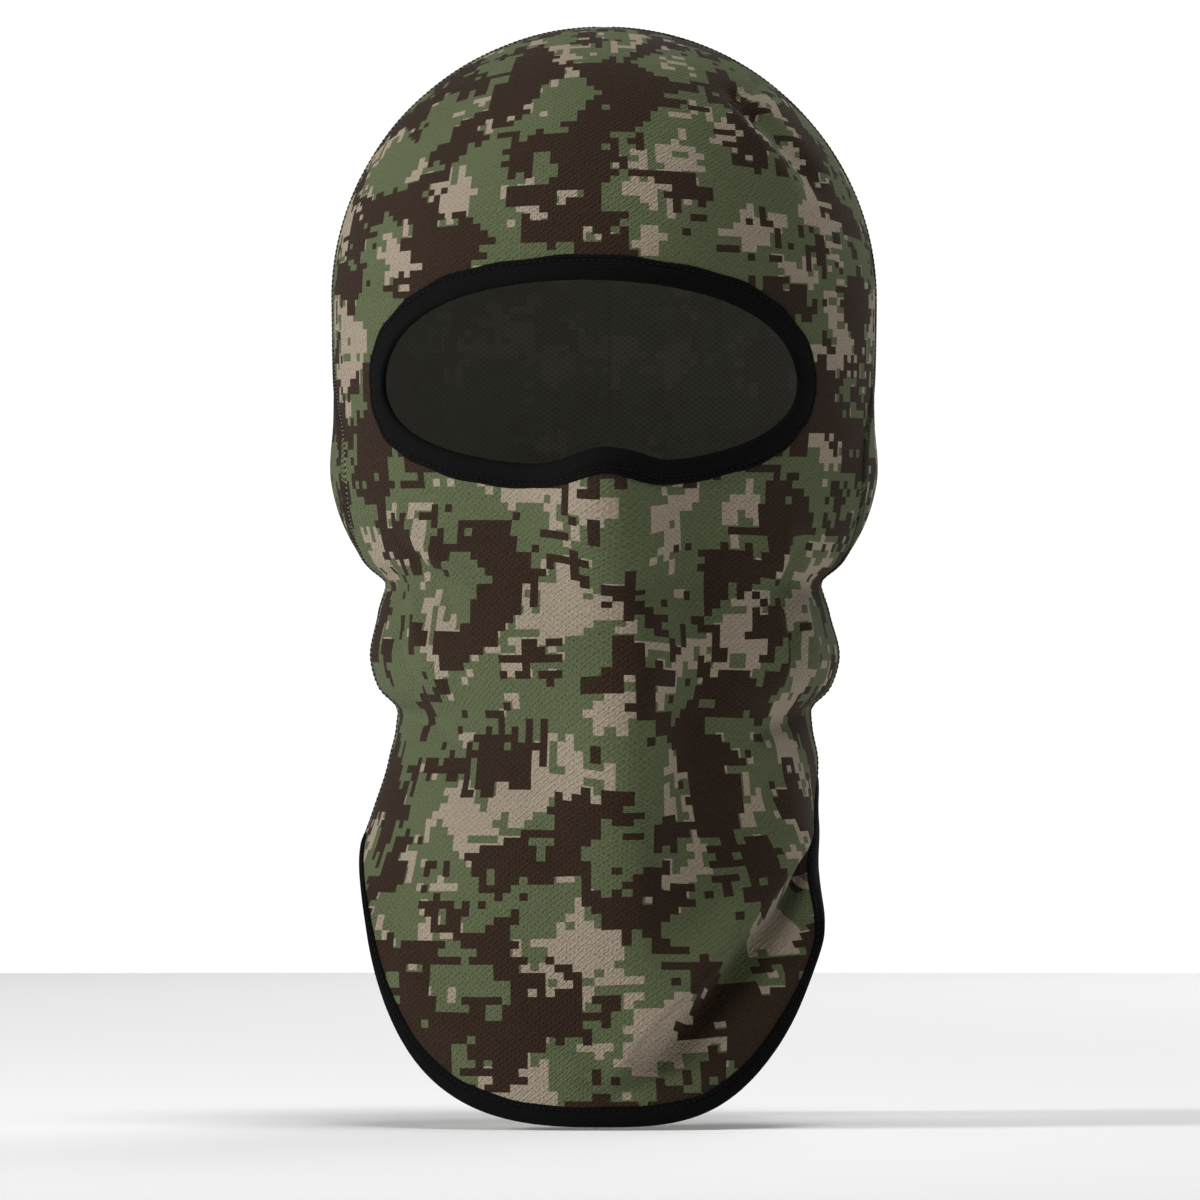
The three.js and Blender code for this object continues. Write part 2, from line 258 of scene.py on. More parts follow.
def distance_to_line(points, x, y):
    """How far each place is from a line of points, what share of the line comes before the nearest point on
    it, and whether the place lies to its left."""
    best = np.full(x.shape, np.inf)
    place = np.zeros(x.shape)
    on_left = np.zeros(x.shape, bool)
    lengths = [math.dist(a, b) for a, b in zip(points, points[1:])]
    total = sum(lengths)
    done = 0.0
    for (ax, ay), (bx, by), length in zip(points, points[1:], lengths):
        dx, dy = bx - ax, by - ay
        t = np.clip(((x - ax) * dx + (y - ay) * dy) / length ** 2, 0, 1)
        gap = np.hypot(x - ax - t * dx, y - ay - t * dy)
        nearer = gap < best
        best = np.where(nearer, gap, best)
        place = np.where(nearer, (done + t * length) / total, place)
        on_left = np.where(nearer, dx * (y - ay) - dy * (x - ax) < 0, on_left)
        done += length
    return best, place, on_left


def fold_height(turn, down):
    """How far all the folds together lift the cloth."""
    turn = (turn + math.pi) % (2 * math.pi) - math.pi
    round_mm = turn * HEAD_RADIUS / MM
    down_mm = down / MM
    height = np.zeros(turn.shape)
    for points, rise, left_width, right_width in FOLDS:
        gap, place, on_left = distance_to_line(points, round_mm, down_mm)
        width = np.where(on_left, left_width, right_width)
        meets = abs(points[-1][0]) > MIDDLE_BACK
        tail = 1 if meets else smoothstep(1 - place, 0, FADE)
        height += rise * np.exp(-(gap / width) ** 2) * smoothstep(place, 0, FADE) * tail
    return height * MM


# Slow waves in the cloth: height, then the pace along x, z and y, and the start, in millimetres
WAVES = [(0.16, 9.1, -23.0, 17.0, 0.7), (0.14, 31.0, 7.3, 19.0, 2.1), (0.10, 5.2, 6.1, -8.0, 4.4)]


def unevenness(turn, down):
    """The small give of a knit that nothing pulls quite flat."""
    x, y, z = np.moveaxis(body_point(turn, down) / MM, -1, 0)
    waves = sum(
        height * np.sin(x / pace_x + z / pace_z + y / pace_y + start)
        for height, pace_x, pace_z, pace_y, start in WAVES
    )
    loose = 0.3 + 0.7 * smoothstep(down, 50 * MM, 110 * MM)
    return waves * loose * MM


def cloth_point(turn, down, out=0.0):
    """A place on the finished cloth, or out metres outside it."""
    turn, down = np.asarray(turn, float), np.asarray(down, float)
    height = fold_height(turn, down) + unevenness(turn, down) + out
    return body_point(turn, down) + np.asarray(height)[..., None] * body_normal(turn, down)


# ---------------------------------------------------------------- edges of the cloth

def hem_depth(turn):
    """How far down the hem lies: a round bib, a shorter nape flap and a notch over each shoulder."""
    power = HEM_POWER - HEM_POWER_LEAN * np.sin(turn)
    notch = NOTCH - NOTCH_LEAN * np.sin(turn)
    end = np.where(np.cos(turn) >= 0, BIB_END, NAPE_END)
    top = (1 - np.abs(np.sin(turn)) ** power + HEM_SOFTNESS) ** (1 / power)
    low, high = HEM_SOFTNESS ** (1 / power), (1 + HEM_SOFTNESS) ** (1 / power)
    return notch + (end - notch) * (top - low) / (high - low)


def hem_place(turn, inset):
    """The place that lies inset metres in from the hem."""
    step = 0.002
    slope = (hem_depth(turn + step) - hem_depth(turn - step)) / (2 * step * HEAD_RADIUS)
    length = np.hypot(slope, 1)
    return turn + inset * slope / (length * HEAD_RADIUS), hem_depth(turn) - inset / length


def eye_place(angle, margin):
    """The place that lies margin metres outside the free edge of the eye opening."""
    def edge(at):
        around = EYE_CENTRE + EYE_HALF * np.cos(at)
        lower = np.sin(at) < 0
        reach = np.where(lower, EYE_DROP, EYE_RISE)
        bridge = np.where(lower, BRIDGE_RISE * np.exp(-(around / BRIDGE_HALF) ** 2), 0)
        return around, EYE_DEPTH - reach * np.sin(at) - bridge
    step = 0.02
    (a0, d0), (a1, d1) = edge(angle - step), edge(angle + step)
    run, fall = a1 - a0, d1 - d0
    length = np.hypot(run, fall)
    around, down = edge(angle)
    return (around - margin * fall / length) / HEAD_RADIUS, down + margin * run / length


def inside_eye(turn, down, margin):
    """Whether a place lies within the eye opening widened by margin."""
    around = turn * HEAD_RADIUS - EYE_CENTRE
    rise = EYE_DEPTH - down
    reach = np.where(rise >= 0, EYE_RISE, EYE_DROP) + margin
    bridge = BRIDGE_RISE * np.exp(-((around + EYE_CENTRE) / BRIDGE_HALF) ** 2)
    rise = rise - np.where(rise >= 0, 0, bridge)
    return (around / (EYE_HALF + margin)) ** 2 + (rise / reach) ** 2 < 1


def side_turn(down):
    """How far round from the front the side seam lies: a quarter turn, less its bow over the cheek."""
    front = level_at(np.maximum(down, 0))[2]
    bow = SEAM_BOW * np.exp(-((down - SEAM_BOW_DEPTH) / SEAM_BOW_HALF) ** 2)
    return np.arccos(np.clip(bow / front, 0, 1))


def left_turn(down):
    return -side_turn(down)


def back_turn(down):
    return np.full(np.shape(down), math.pi)


def back_turn_left(down):
    return -back_turn(down)


# ---------------------------------------------------------------- the flat print

QUARTER = np.linspace(0, math.pi / 2, 400)


def quarter_arc(reach):
    """The way from the middle of the face, or of the back, round to the side, at each angle."""
    steps = np.hypot(HEAD_RADIUS * np.cos(QUARTER), reach * np.sin(QUARTER))
    return np.concatenate([[0], np.cumsum((steps[1:] + steps[:-1]) / 2 * QUARTER[1])])


def print_place(turn, down):
    """Where a place on the worn cloth lies on the flat printed knit, in metres."""
    turn = (turn + math.pi) % (2 * math.pi) - math.pi
    at_front = np.cos(turn) >= 0
    side = np.where(at_front, turn, np.where(turn > 0, turn - math.pi, turn + math.pi))
    tilt = np.clip(-down / CROWN, 0, math.pi / 2)
    away = np.arccos(np.clip(np.cos(side) * np.cos(tilt), -1, 1))
    x_part, z_part = np.sin(side) * np.cos(tilt), np.sin(tilt)
    spread = np.maximum(np.hypot(x_part, z_part), 1e-9)
    front_arc = np.interp(away, QUARTER, quarter_arc(LEVELS[0, 3]))
    back_arc = np.interp(away, QUARTER, quarter_arc(LEVELS[0, 4]))
    dome = np.where(at_front, front_arc, back_arc)
    samples = np.linspace(0, 1, 33)
    middle = (turn - side)[..., None]
    path = body_point(side[..., None] * samples + middle, np.maximum(down, 0)[..., None] + 0 * samples)
    lengths = np.linalg.norm(np.diff(path, axis=-2), axis=-1).sum(axis=-1) * np.sign(side)
    u = np.where(down < 0, dome * x_part / spread, lengths)
    v = np.where(down < 0, dome * z_part / spread, -down)
    return np.stack([u + np.where(at_front, 0, 0.5), v], axis=-1)


# ---------------------------------------------------------------- meshes

def make_piece(name, points, faces, corner_uvs):
    """A piece from its points, its faces and the place of each face corner on the flat cloth."""
    mesh = bpy.data.meshes.new(name)
    faces = [[int(corner) for corner in face] for face in faces]
    mesh.from_pydata(np.asarray(points).reshape(-1, 3).tolist(), [], faces)
    layer = mesh.uv_layers.new(name="cloth")
    layer.data.foreach_set("uv", np.asarray(corner_uvs, np.float32).ravel())
    mesh.shade_smooth()
    piece = bpy.data.objects.new(name, mesh)
    bpy.context.scene.collection.objects.link(piece)
    return piece


def edit(piece, *steps):
    """Run edit-mode steps on all of a piece."""
    bpy.ops.object.select_all(action="DESELECT")
    piece.select_set(True)
    bpy.context.view_layer.objects.active = piece
    bpy.ops.object.mode_set(mode="EDIT")
    for step in steps:
        bpy.ops.mesh.select_all(action="SELECT")
        step()
    bpy.ops.object.mode_set(mode="OBJECT")


def merge_doubles():
    bpy.ops.mesh.remove_doubles(threshold=1e-6)


def face_outwards():
    bpy.ops.mesh.normals_make_consistent(inside=False)


def apply_modifiers(piece):
    bpy.ops.object.select_all(action="DESELECT")
    piece.select_set(True)
    bpy.context.view_layer.objects.active = piece
    for modifier in list(piece.modifiers):
        bpy.ops.object.modifier_apply(modifier=modifier.name)


def cloth_rows(turns, count):
    """The way down at each row of a panel. Rows are level as far as straight, then they spread to the hem."""
    straight = 120 * MM
    end = hem_place(turns, CLOTH_IN_HEM_TAPE)[1]
    level = np.linspace(0, 1, count)
    joint = (straight - CROWN_PATH) / (BIB_END - CROWN_PATH)
    upper = CROWN_PATH + (straight - CROWN_PATH) * np.minimum(level / joint, 1)
    lower = np.clip((level - joint) / (1 - joint), 0, 1)
    return upper[:, None] + lower[:, None] * (end[None, :] - straight)


def cloth_panel(name, start, stop, columns, outside, inside):
    """A panel of knit from the crown to the hem, between the edges start and stop."""
    count = int((BIB_END - CROWN_PATH) / CELL)
    share = np.linspace(0, 1, columns)
    notch = np.array(NOTCH)
    hem_turn = start(notch) + (stop(notch) - start(notch)) * share
    down = cloth_rows(hem_turn, count)
    turn = start(down) + (stop(down) - start(down)) * share[None, :]
    points = cloth_point(turn, down)
    row, column = np.meshgrid(np.arange(count - 1), np.arange(columns - 1), indexing="ij")
    near = row * columns + column
    faces = np.stack([near, near + columns, near + columns + 1, near + 1], axis=-1).reshape(-1, 4)
    middle_turn = turn.ravel()[faces].mean(axis=1)
    middle_down = down.ravel()[faces].mean(axis=1)
    in_front = np.cos(middle_turn) > 0
    faces = faces[~(in_front & inside_eye(middle_turn, middle_down, CLOTH_IN_EYE_TAPE))]
    uvs = print_place(turn, down).reshape(-1, 2)[faces]
    piece = make_piece(name, points, faces, uvs)
    piece.data.materials.append(outside)
    piece.data.materials.append(inside)
    edit(piece, merge_doubles, bpy.ops.mesh.delete_loose)
    wall = piece.modifiers.new("wall", "SOLIDIFY")
    wall.thickness = CLOTH
    wall.offset = -1
    wall.use_even_offset = False
    wall.material_offset = 1
    wall.material_offset_rim = 1
    apply_modifiers(piece)
    return piece


def sweep(name, rings, material, closed):
    """A solid strip through rings of section points, rings[i, j]: i along the strip, j round its section."""
    count, round_count = rings.shape[:2]
    spans = count if closed else count - 1
    i, j = np.meshgrid(np.arange(spans), np.arange(round_count), indexing="ij")
    k, l = (i + 1) % count, (j + 1) % round_count
    here, ahead = i * round_count, k * round_count
    faces = np.stack([here + j, ahead + j, ahead + l, here + l], axis=-1)
    step = np.linalg.norm(np.diff(rings[:, 0], axis=0), axis=-1).mean()
    girth = np.linalg.norm(np.diff(rings, axis=1), axis=-1).mean()
    corners = np.stack([
        np.stack([i * step, j * girth], axis=-1),
        np.stack([(i + 1) * step, j * girth], axis=-1),
        np.stack([(i + 1) * step, (j + 1) * girth], axis=-1),
        np.stack([i * step, (j + 1) * girth], axis=-1),
    ], axis=-2)
    faces = faces.reshape(-1, 4).tolist()
    uvs = corners.reshape(-1, 2).tolist()
    if not closed:
        last = (count - 1) * round_count
        for end in (range(round_count), range(last + round_count - 1, last - 1, -1)):
            faces.append(list(end))
            uvs += [[0.0, 0.0]] * round_count
    piece = make_piece(name, rings, faces, uvs)
    piece.data.materials.append(material)
    edit(piece, face_outwards)
    return piece


def tape_section(width, dip):
    """(inset, out) points round folded tape that holds the edge of the cloth. Stitches pull it in at dip."""
    roll = TAPE_OUT + CLOTH / 2
    middle = -CLOTH / 2
    points = []
    for angle in np.linspace(math.pi / 2, 3 * math.pi / 2, 9)[::-1]:
        points.append((roll + roll * math.cos(angle), middle + roll * math.sin(angle)))
    top = [
        (0.34 * width, 1.10), (0.55 * width, 1.06), (dip - 0.7 * MM, 0.98), (dip - 0.25 * MM, 0.74),
        (dip + 0.25 * MM, 0.74), (dip + 0.65 * MM, 0.9), (width - 0.25 * MM, 0.72), (width, 0.45),
    ]
    for inset, lift in top:
        points.append((inset, middle + roll * lift))
    for inset, lift in top[::-1]:
        points.append((inset, middle - roll * lift))
    return points


def tape_rings(place, along, width, dip):
    """The section of a tape at each step along an edge, a little wider and narrower by turns."""
    wave = 1 + 0.03 * np.sin(along * 9.3) + 0.025 * np.sin(along * 23.0 + 1.0)
    rings = []
    for inset, out in tape_section(width, dip):
        turn, down = place(along, inset * wave)
        rings.append(cloth_point(turn, down, out))
    return np.stack(rings, axis=1)


def even_steps(place, start, stop, pitch):
    """Values from start to stop that lie the same distance apart on the cloth."""
    fine = np.linspace(start, stop, 3000)
    points = cloth_point(*place(fine, 0.0))
    lengths = np.concatenate([[0], np.cumsum(np.linalg.norm(np.diff(points, axis=0), axis=-1))])
    count = int(round(lengths[-1] / pitch))
    return np.interp(np.linspace(0, lengths[-1], count + 1), lengths, fine)


# ---------------------------------------------------------------- thread

def thread_shape():
    """One short length of thread, one unit long and one across, lying along X."""
    bpy.ops.object.select_all(action="DESELECT")
    bpy.ops.mesh.primitive_uv_sphere_add(segments=6, ring_count=5, radius=0.5)
    ball = bpy.context.object
    bpy.ops.object.mode_set(mode="EDIT")
    bpy.ops.mesh.select_all(action="SELECT")
    bpy.ops.transform.rotate(value=math.pi / 2, orient_axis="Y", center_override=(0, 0, 0))
    bpy.ops.object.mode_set(mode="OBJECT")
    points = np.array([v.co[:] for v in ball.data.vertices])
    # Blender lists a ball's faces in another order each run
    faces = sorted(list(p.vertices) for p in ball.data.polygons)
    bpy.data.objects.remove(ball, do_unlink=True)
    fullness = 1 - (2 * np.abs(points[:, 0])) ** 4 * 0.25
    points[:, 1:] *= fullness[:, None]
    return points, faces


THREAD_POINTS, THREAD_FACES = thread_shape()


def thread_row(name, centres, ways, ups, lengths, thick, material):
    """Threads of the same shape, each at its centre and along its way, joined as one piece."""
    sides = unit(np.cross(ups, ways))
    ups = unit(np.cross(ways, sides))
    shape = THREAD_POINTS
    points = (
        centres[:, None]
        + shape[None, :, 0:1] * (lengths[:, None] * ways)[:, None]
        + shape[None, :, 1:2] * thick * sides[:, None]
        + shape[None, :, 2:3] * thick * ups[:, None]
    )
    faces = []
    uvs = []
    for index in range(len(centres)):
        first = index * len(shape)
        for face in THREAD_FACES:
            faces.append([first + corner for corner in face])
            for corner in face:
                angle = math.atan2(shape[corner, 2], shape[corner, 1]) / math.tau
                uvs.append(((shape[corner, 0] + 0.5 + index) * lengths[index], angle * thick * math.pi))
    piece = make_piece(name, points, faces, uvs)
    piece.data.materials.append(material)
    edit(piece, face_outwards)
    return piece


def stitch_row(name, place, start, stop, inset, material):
    """Topstitching that follows the edge of a tape."""
    marks = even_steps(place, start, stop, STITCH_PITCH)
    middles = (marks[1:] + marks[:-1]) / 2
    sink = TAPE_OUT - 0.12 * MM
    ends = [cloth_point(*place(marks[:-1], inset), sink), cloth_point(*place(marks[1:], inset), sink)]
    ways = unit(ends[1] - ends[0])
    turn, down = place(middles, inset)
    centres = (ends[0] + ends[1]) / 2
    lengths = np.full(len(middles), STITCH_LENGTH)
    return thread_row(name, centres, ways, body_normal(turn, down), lengths, STITCH_THICK, material)


def seam_frame(turn_at, start, stop, pitch):
    """Places down a seam, with the way along it, across it and out of it."""
    fine = np.linspace(start, stop, 2000)
    path = cloth_point(turn_at(fine), fine)
    lengths = np.concatenate([[0], np.cumsum(np.linalg.norm(np.diff(path, axis=0), axis=-1))])
    down = np.interp(np.linspace(0, lengths[-1], int(lengths[-1] / pitch)), lengths, fine)
    turn = turn_at(down)
    points = cloth_point(turn, down)
    along = unit(np.gradient(points, axis=0))
    out = body_normal(turn, down)
    across = unit(np.cross(out, along))
    out = unit(np.cross(along, across))
    return turn, down, points, along, across, out


def seam_ridge(name, turn_at, start, stop, outside, inside):
    """The two lapped edges of knit under a flatlock seam."""
    turn, down, points, _, across, out = seam_frame(turn_at, start, stop, RIDGE_STEP)
    half = SEAM_WIDTH / 2
    first_inner = 5
    section = [
        (-half, -0.25), (-0.8 * half, 0.25), (-0.3 * half, 0.42), (0.3 * half, 0.42), (0.8 * half, 0.25),
        (half, -0.25), (0.8 * half, -1.15), (0, -1.3), (-0.8 * half, -1.15),
    ]
    rings = np.stack([points + side * across + lift * MM * out for side, lift in section], axis=1)
    piece = sweep(name, rings, outside, closed=False)
    piece.data.materials.append(inside)
    for face in piece.data.polygons:
        if sum(corner % len(section) >= first_inner for corner in face.vertices) >= 2:
            face.material_index = 1
    place = print_place(turn, down)
    corners = np.zeros(len(piece.data.loops), dtype=int)
    piece.data.loops.foreach_get("vertex_index", corners)
    uvs = place[corners // len(section)]
    uvs[:, 0] += np.array([side for side, lift in section])[corners % len(section)]
    piece.data.uv_layers[0].data.foreach_set("uv", uvs.astype(np.float32).ravel())
    return piece


def seam_threads(name, turn_at, start, stop, material):
    """The rungs and the two needle lines of a flatlock seam."""
    _, _, points, along, across, out = seam_frame(turn_at, start, stop, RUNG_PITCH)
    rung_out, needle_out = 0.40 * MM, 0.2 * MM
    centres = [points + rung_out * out]
    ways = [unit(across + 0.16 * along)]
    lengths = [np.full(len(points), SEAM_WIDTH)]
    for side in (-0.9, 0.9):
        centres.append(points + side * SEAM_WIDTH / 2 * across + needle_out * out)
        ways.append(along)
        lengths.append(np.full(len(points), RUNG_PITCH * 0.9))
    rows = [np.concatenate(parts) for parts in (centres, ways, [out] * 3, lengths)]
    return thread_row(name, *rows, RUNG_THICK, material)


def satin_label(name, material):
    """A blank folded label sewn inside the back of the neck."""
    columns, rows = 12, 15
    side = np.linspace(-0.5, 0.5, columns) * LABEL["width"]
    drop = np.linspace(0, 1, rows)
    x, t = np.meshgrid(side, drop)
    down = LABEL["depth"] - LABEL["height"] / 2 + LABEL["height"] * t
    turn = math.pi + x / (HEAD_RADIUS * 0.85)
    lift = CLOTH + (0.3 + 1.6 * t ** 2 * (1 + 0.25 * np.sin(x / MM / 3))) * MM
    points = cloth_point(turn, down, -lift)
    near = np.arange(rows - 1)[:, None] * columns + np.arange(columns - 1)[None, :]
    faces = np.stack([near, near + 1, near + columns + 1, near + columns], axis=-1).reshape(-1, 4)
    uvs = np.stack([x, LABEL["height"] * t], axis=-1).reshape(-1, 2)[faces]
    piece = make_piece(name, points, faces, uvs)
    piece.data.materials.append(material)
    wall = piece.modifiers.new("wall", "SOLIDIFY")
    wall.thickness = LABEL["thick"]
    wall.offset = 1
    apply_modifiers(piece)
    return piece


# ---------------------------------------------------------------- finishes

class Value:
    """A shader value that Python's own signs work on. Each sign adds one Math node."""

    def __init__(self, finish, socket):
        self.finish = finish
        self.socket = socket

    def math(self, operation, first, second=0.0):
        return self.finish.node("Math", {"operation": operation}, {0: first, 1: second})

    def __add__(self, other):
        return self.math("ADD", self, other)

    def __radd__(self, other):
        return self.math("ADD", other, self)

    def __sub__(self, other):
        return self.math("SUBTRACT", self, other)

    def __rsub__(self, other):
        return self.math("SUBTRACT", other, self)

    def __mul__(self, other):
        return self.math("MULTIPLY", self, other)

    def __rmul__(self, other):
        return self.math("MULTIPLY", other, self)

    def __truediv__(self, other):
        return self.math("DIVIDE", self, other)

    def __gt__(self, other):
        return self.math("GREATER_THAN", self, other)

    def floor(self):
        return self.math("FLOOR", self)

    def sine(self):
        return self.math("SINE", self)


class Finish:
    """One material, built up node by node."""

    def __init__(self, name, roughness, sheen=0.0, specular=0.5):
        self.material = bpy.data.materials.new(name)
        self.material.use_nodes = True
        self.tree = self.material.node_tree
        self.shader = self.tree.nodes["Principled BSDF"]
        self.shader.inputs["Roughness"].default_value = roughness
        self.shader.inputs["Sheen Weight"].default_value = sheen
        self.shader.inputs["Sheen Roughness"].default_value = 0.6
        self.shader.inputs["Specular IOR Level"].default_value = specular

    def node(self, kind, settings, sockets, output=0):
        node = self.tree.nodes.new("ShaderNode" + kind)
        for setting, value in settings.items():
            setattr(node, setting, value)
        for socket, value in sockets.items():
            if isinstance(value, Value):
                self.tree.links.new(value.socket, node.inputs[socket])
            else:
                node.inputs[socket].default_value = value
        return Value(self, node.outputs[output])

    def place(self):
        """The place on the cloth in millimetres, as two values."""
        uv = self.node("UVMap", {"uv_map": "cloth"}, {})
        parts = self.node("SeparateXYZ", {}, {0: uv})
        across = Value(self, parts.socket)
        up = Value(self, parts.socket.node.outputs[1])
        return across * 1000, up * 1000

    def point(self, x, y, z=0.0):
        return self.node("CombineXYZ", {}, {0: x, 1: y, 2: z})

    def cloud(self, x, y, seed, detail=0.0):
        """Smooth noise about 0.5, with lumps about one unit apart."""
        sockets = {"Vector": self.point(x, y, seed), "Scale": 1.0, "Detail": detail, "Roughness": 0.5}
        return self.node("TexNoise", {"noise_dimensions": "3D"}, sockets)

    def speck(self, x, y, seed):
        """A value of its own for each whole x and y."""
        return self.node("TexWhiteNoise", {"noise_dimensions": "3D"}, {"Vector": self.point(x, y, seed)})

    def mix(self, share, first, second):
        return self.node("Mix", {"data_type": "RGBA"}, {0: share, 6: first, 7: second}, output=2)

    def shade(self, colour, amount):
        """A colour made lighter or darker: amount 1 leaves it as it is."""
        grey = self.node("CombineColor", {}, {0: amount, 1: amount, 2: amount})
        settings = {"data_type": "RGBA", "blend_type": "MULTIPLY"}
        return self.node("Mix", settings, {0: 1.0, 6: colour, 7: grey}, output=2)

    def bump(self, height, distance, strength=1.0):
        return self.node("Bump", {}, {"Height": height, "Distance": distance, "Strength": strength})

    def set(self, name, value):
        if isinstance(value, Value):
            self.tree.links.new(value.socket, self.shader.inputs[name])
        else:
            self.shader.inputs[name].default_value = value


def printed_ink(finish, x, y, cell, shift, seed, cover):
    """1 where an ink is printed: large patches of squares, with arms, prongs and loose squares at the edges.
    The higher cover is, the less is printed."""
    width, height = cell
    column = (x / width + shift[0]).floor() + 0.5
    row = (y / height + shift[1]).floor() + 0.5
    at_x, at_y = column * width, row * height
    patch = finish.cloud(at_x / 24, at_y / 23, seed, detail=1.5)
    arms = finish.cloud(at_x / 8.5, at_y / 2.8, seed + 7.3)
    prongs = finish.cloud(at_x / 3.3, at_y / 8.5, seed + 15.1)
    loose = finish.speck(column, row, seed)
    return patch * 1.4 + arms * 0.36 + prongs * 0.38 + loose * 0.08 > cover


def print_colours(finish, x, y):
    """Tan patches on green, and brown ones over both."""
    green, tan, brown = (0.106, 0.127, 0.063, 1), (0.345, 0.285, 0.215, 1), (0.034, 0.0195, 0.0115, 1)
    cell = (2.75, 2.35)
    tan_ink = printed_ink(finish, x, y, cell, (0.0, 0.0), 3.7, 1.21)
    brown_ink = printed_ink(finish, x, y, cell, (0.28, 0.22), 41.2, 1.142)
    return finish.mix(brown_ink, finish.mix(tan_ink, green, tan), brown)


def knit(finish, x, y):
    """Short staggered loops, 0 in the gaps and 1 on the loops, and the slanted yarns that cross them."""
    pitch_x, pitch_y = 2.4, 1.7
    yarn_x, yarn_y = 1.3, 1.15
    drift = finish.cloud(x / 2.5, y / 2.5, 12.0) * 2.2
    wave = (x * (math.tau / pitch_x) + drift).sine() * (y * (math.tau / pitch_y) + drift).sine()
    dimple = finish.node("Math", {"operation": "MAXIMUM"}, {0: wave, 1: 0.0})
    wander = finish.cloud(x / 1.5, y / 1.1, 21.0) * 7.0
    yarns = (x * (math.tau / yarn_x) - y * (math.tau / yarn_y) + wander).sine() * 0.5 + 0.5
    return 1 - dimple, yarns


def camo_knit():
    """The printed outer face of the knit, which fades and varies a little, with painted shade in its gaps and
    painted highlights on its yarns.
    """
    finish = Finish("camo_knit", roughness=0.92, sheen=0.02, specular=0.1)
    x, y = finish.place()
    loops, yarns = knit(finish, x, y)
    heather = finish.cloud(x / 0.6, y / 1.1, 5.0, detail=2.0)
    fade = finish.cloud(x / 40, y / 40, 9.0)
    # the loops term is painted shade in the gaps between loops, and the yarns term is painted highlight along
    # the yarns; heather and fade are the knit's own uneven tone
    amount = loops * 0.11 + yarns * 0.13 + heather * 0.20 + fade * 0.16 + 0.63
    finish.set("Base Color", finish.shade(print_colours(finish, x, y), amount))
    finish.set("Normal", finish.bump(loops * 0.8 + yarns * 0.5 + heather * 0.3, 0.00034, 1.0))
    return finish.material


def plain_knit():
    """The unprinted inner face, with the print showing faintly through and painted shade in the gaps of the
    knit.
    """
    finish = Finish("plain_knit", roughness=0.95, sheen=0.1, specular=0.2)
    x, y = finish.place()
    loops, yarns = knit(finish, x, y)
    heather = finish.cloud(x / 0.7, y / 0.7, 5.0, detail=2.0)
    pale = (0.30, 0.29, 0.25, 1)
    through = finish.mix(0.80, print_colours(finish, x, y), pale)
    # the loops term is painted shade in the gaps between loops; heather is the knit's own uneven tone
    finish.set("Base Color", finish.shade(through, loops * 0.2 + heather * 0.2 + 0.75))
    finish.set("Normal", finish.bump(loops + yarns * 0.3, 0.0002, 0.8))
    return finish.material


def black_tape():
    """Fine ribs along the tape, crossed by slanted knit stitches."""
    finish = Finish("black_tape", roughness=0.8, specular=0.06)
    x, y = finish.place()
    ribs = (y * (math.tau / 0.62)).sine()
    slant = ((x + y * 0.5) * (math.tau / 0.7)).sine()
    weave = ribs * 0.5 + slant * 0.35
    wear = finish.cloud(x / 5, y / 2, 2.0, detail=2.0)
    amount = weave * 0.18 + wear * 0.5 + 0.7
    finish.set("Base Color", finish.shade((0.0034, 0.0034, 0.0036, 1), amount))
    finish.set("Roughness", wear * 0.2 + 0.68)
    finish.set("Normal", finish.bump(weave, 0.00012, 0.7))
    return finish.material


def thread_finish(name, colour, roughness):
    """Two-ply thread: slanted plies along each stitch."""
    finish = Finish(name, roughness=roughness, specular=0.1)
    x, y = finish.place()
    plies = ((x * 2.2 + y * 2.0) * math.tau).sine()
    hairs = finish.cloud(x / 0.2, y / 0.2, 1.0, detail=1.0)
    finish.set("Base Color", finish.shade(colour, plies * 0.18 + hairs * 0.4 + 0.75))
    finish.set("Normal", finish.bump(plies, 0.00005, 0.8))
    return finish.material


def satin():
    """Woven label tape, slightly soiled."""
    finish = Finish("label_satin", roughness=0.42, sheen=0.2)
    x, y = finish.place()
    weave = (x * (math.tau / 0.4)).sine() * 0.5 + (y * (math.tau / 0.9)).sine() * 0.5
    soil = finish.cloud(x / 6, y / 6, 3.0, detail=2.0)
    finish.set("Base Color", finish.shade((0.78, 0.77, 0.73, 1), soil * 0.2 + weave * 0.03 + 0.85))
    finish.set("Normal", finish.bump(weave, 0.00005, 0.6))
    return finish.material


# ---------------------------------------------------------------- the pieces

camo = camo_knit()
inner = plain_knit()
tape = black_tape()
flatlock = thread_finish("seam_thread", (0.030, 0.028, 0.018, 1), 0.85)
black = thread_finish("black_thread", (0.009, 0.009, 0.0095, 1), 0.6)


def bend(piece):
    """Bake a piece's placement into its points."""
    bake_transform(piece)


face_cloth = cloth_panel("face_cloth", left_turn, side_turn, FACE_COLUMNS, camo, inner)
back_left = cloth_panel("back_cloth_left", back_turn_left, left_turn, BACK_COLUMNS, camo, inner)
back_right = cloth_panel("back_cloth_right", side_turn, back_turn, BACK_COLUMNS, camo, inner)
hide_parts("face_panel", "bib_panel")
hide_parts("hood_panel_left", "nape_panel_left")
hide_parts("hood_panel_right", "nape_panel_right")
bend(face_cloth)
bend(back_left)
bend(back_right)

eye_steps = even_steps(eye_place, 0, math.tau, TAPE_STEP)[:-1]
eye_tape = sweep("eye_tape", tape_rings(eye_place, eye_steps, EYE_TAPE, EYE_DIP), tape, closed=True)
eye_stitches = stitch_row("eye_stitches", eye_place, 0, math.tau, EYE_DIP, black)
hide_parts("eye_binding")
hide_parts("eye_stitch")
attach(eye_tape, "hood")
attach(eye_stitches, "hood")

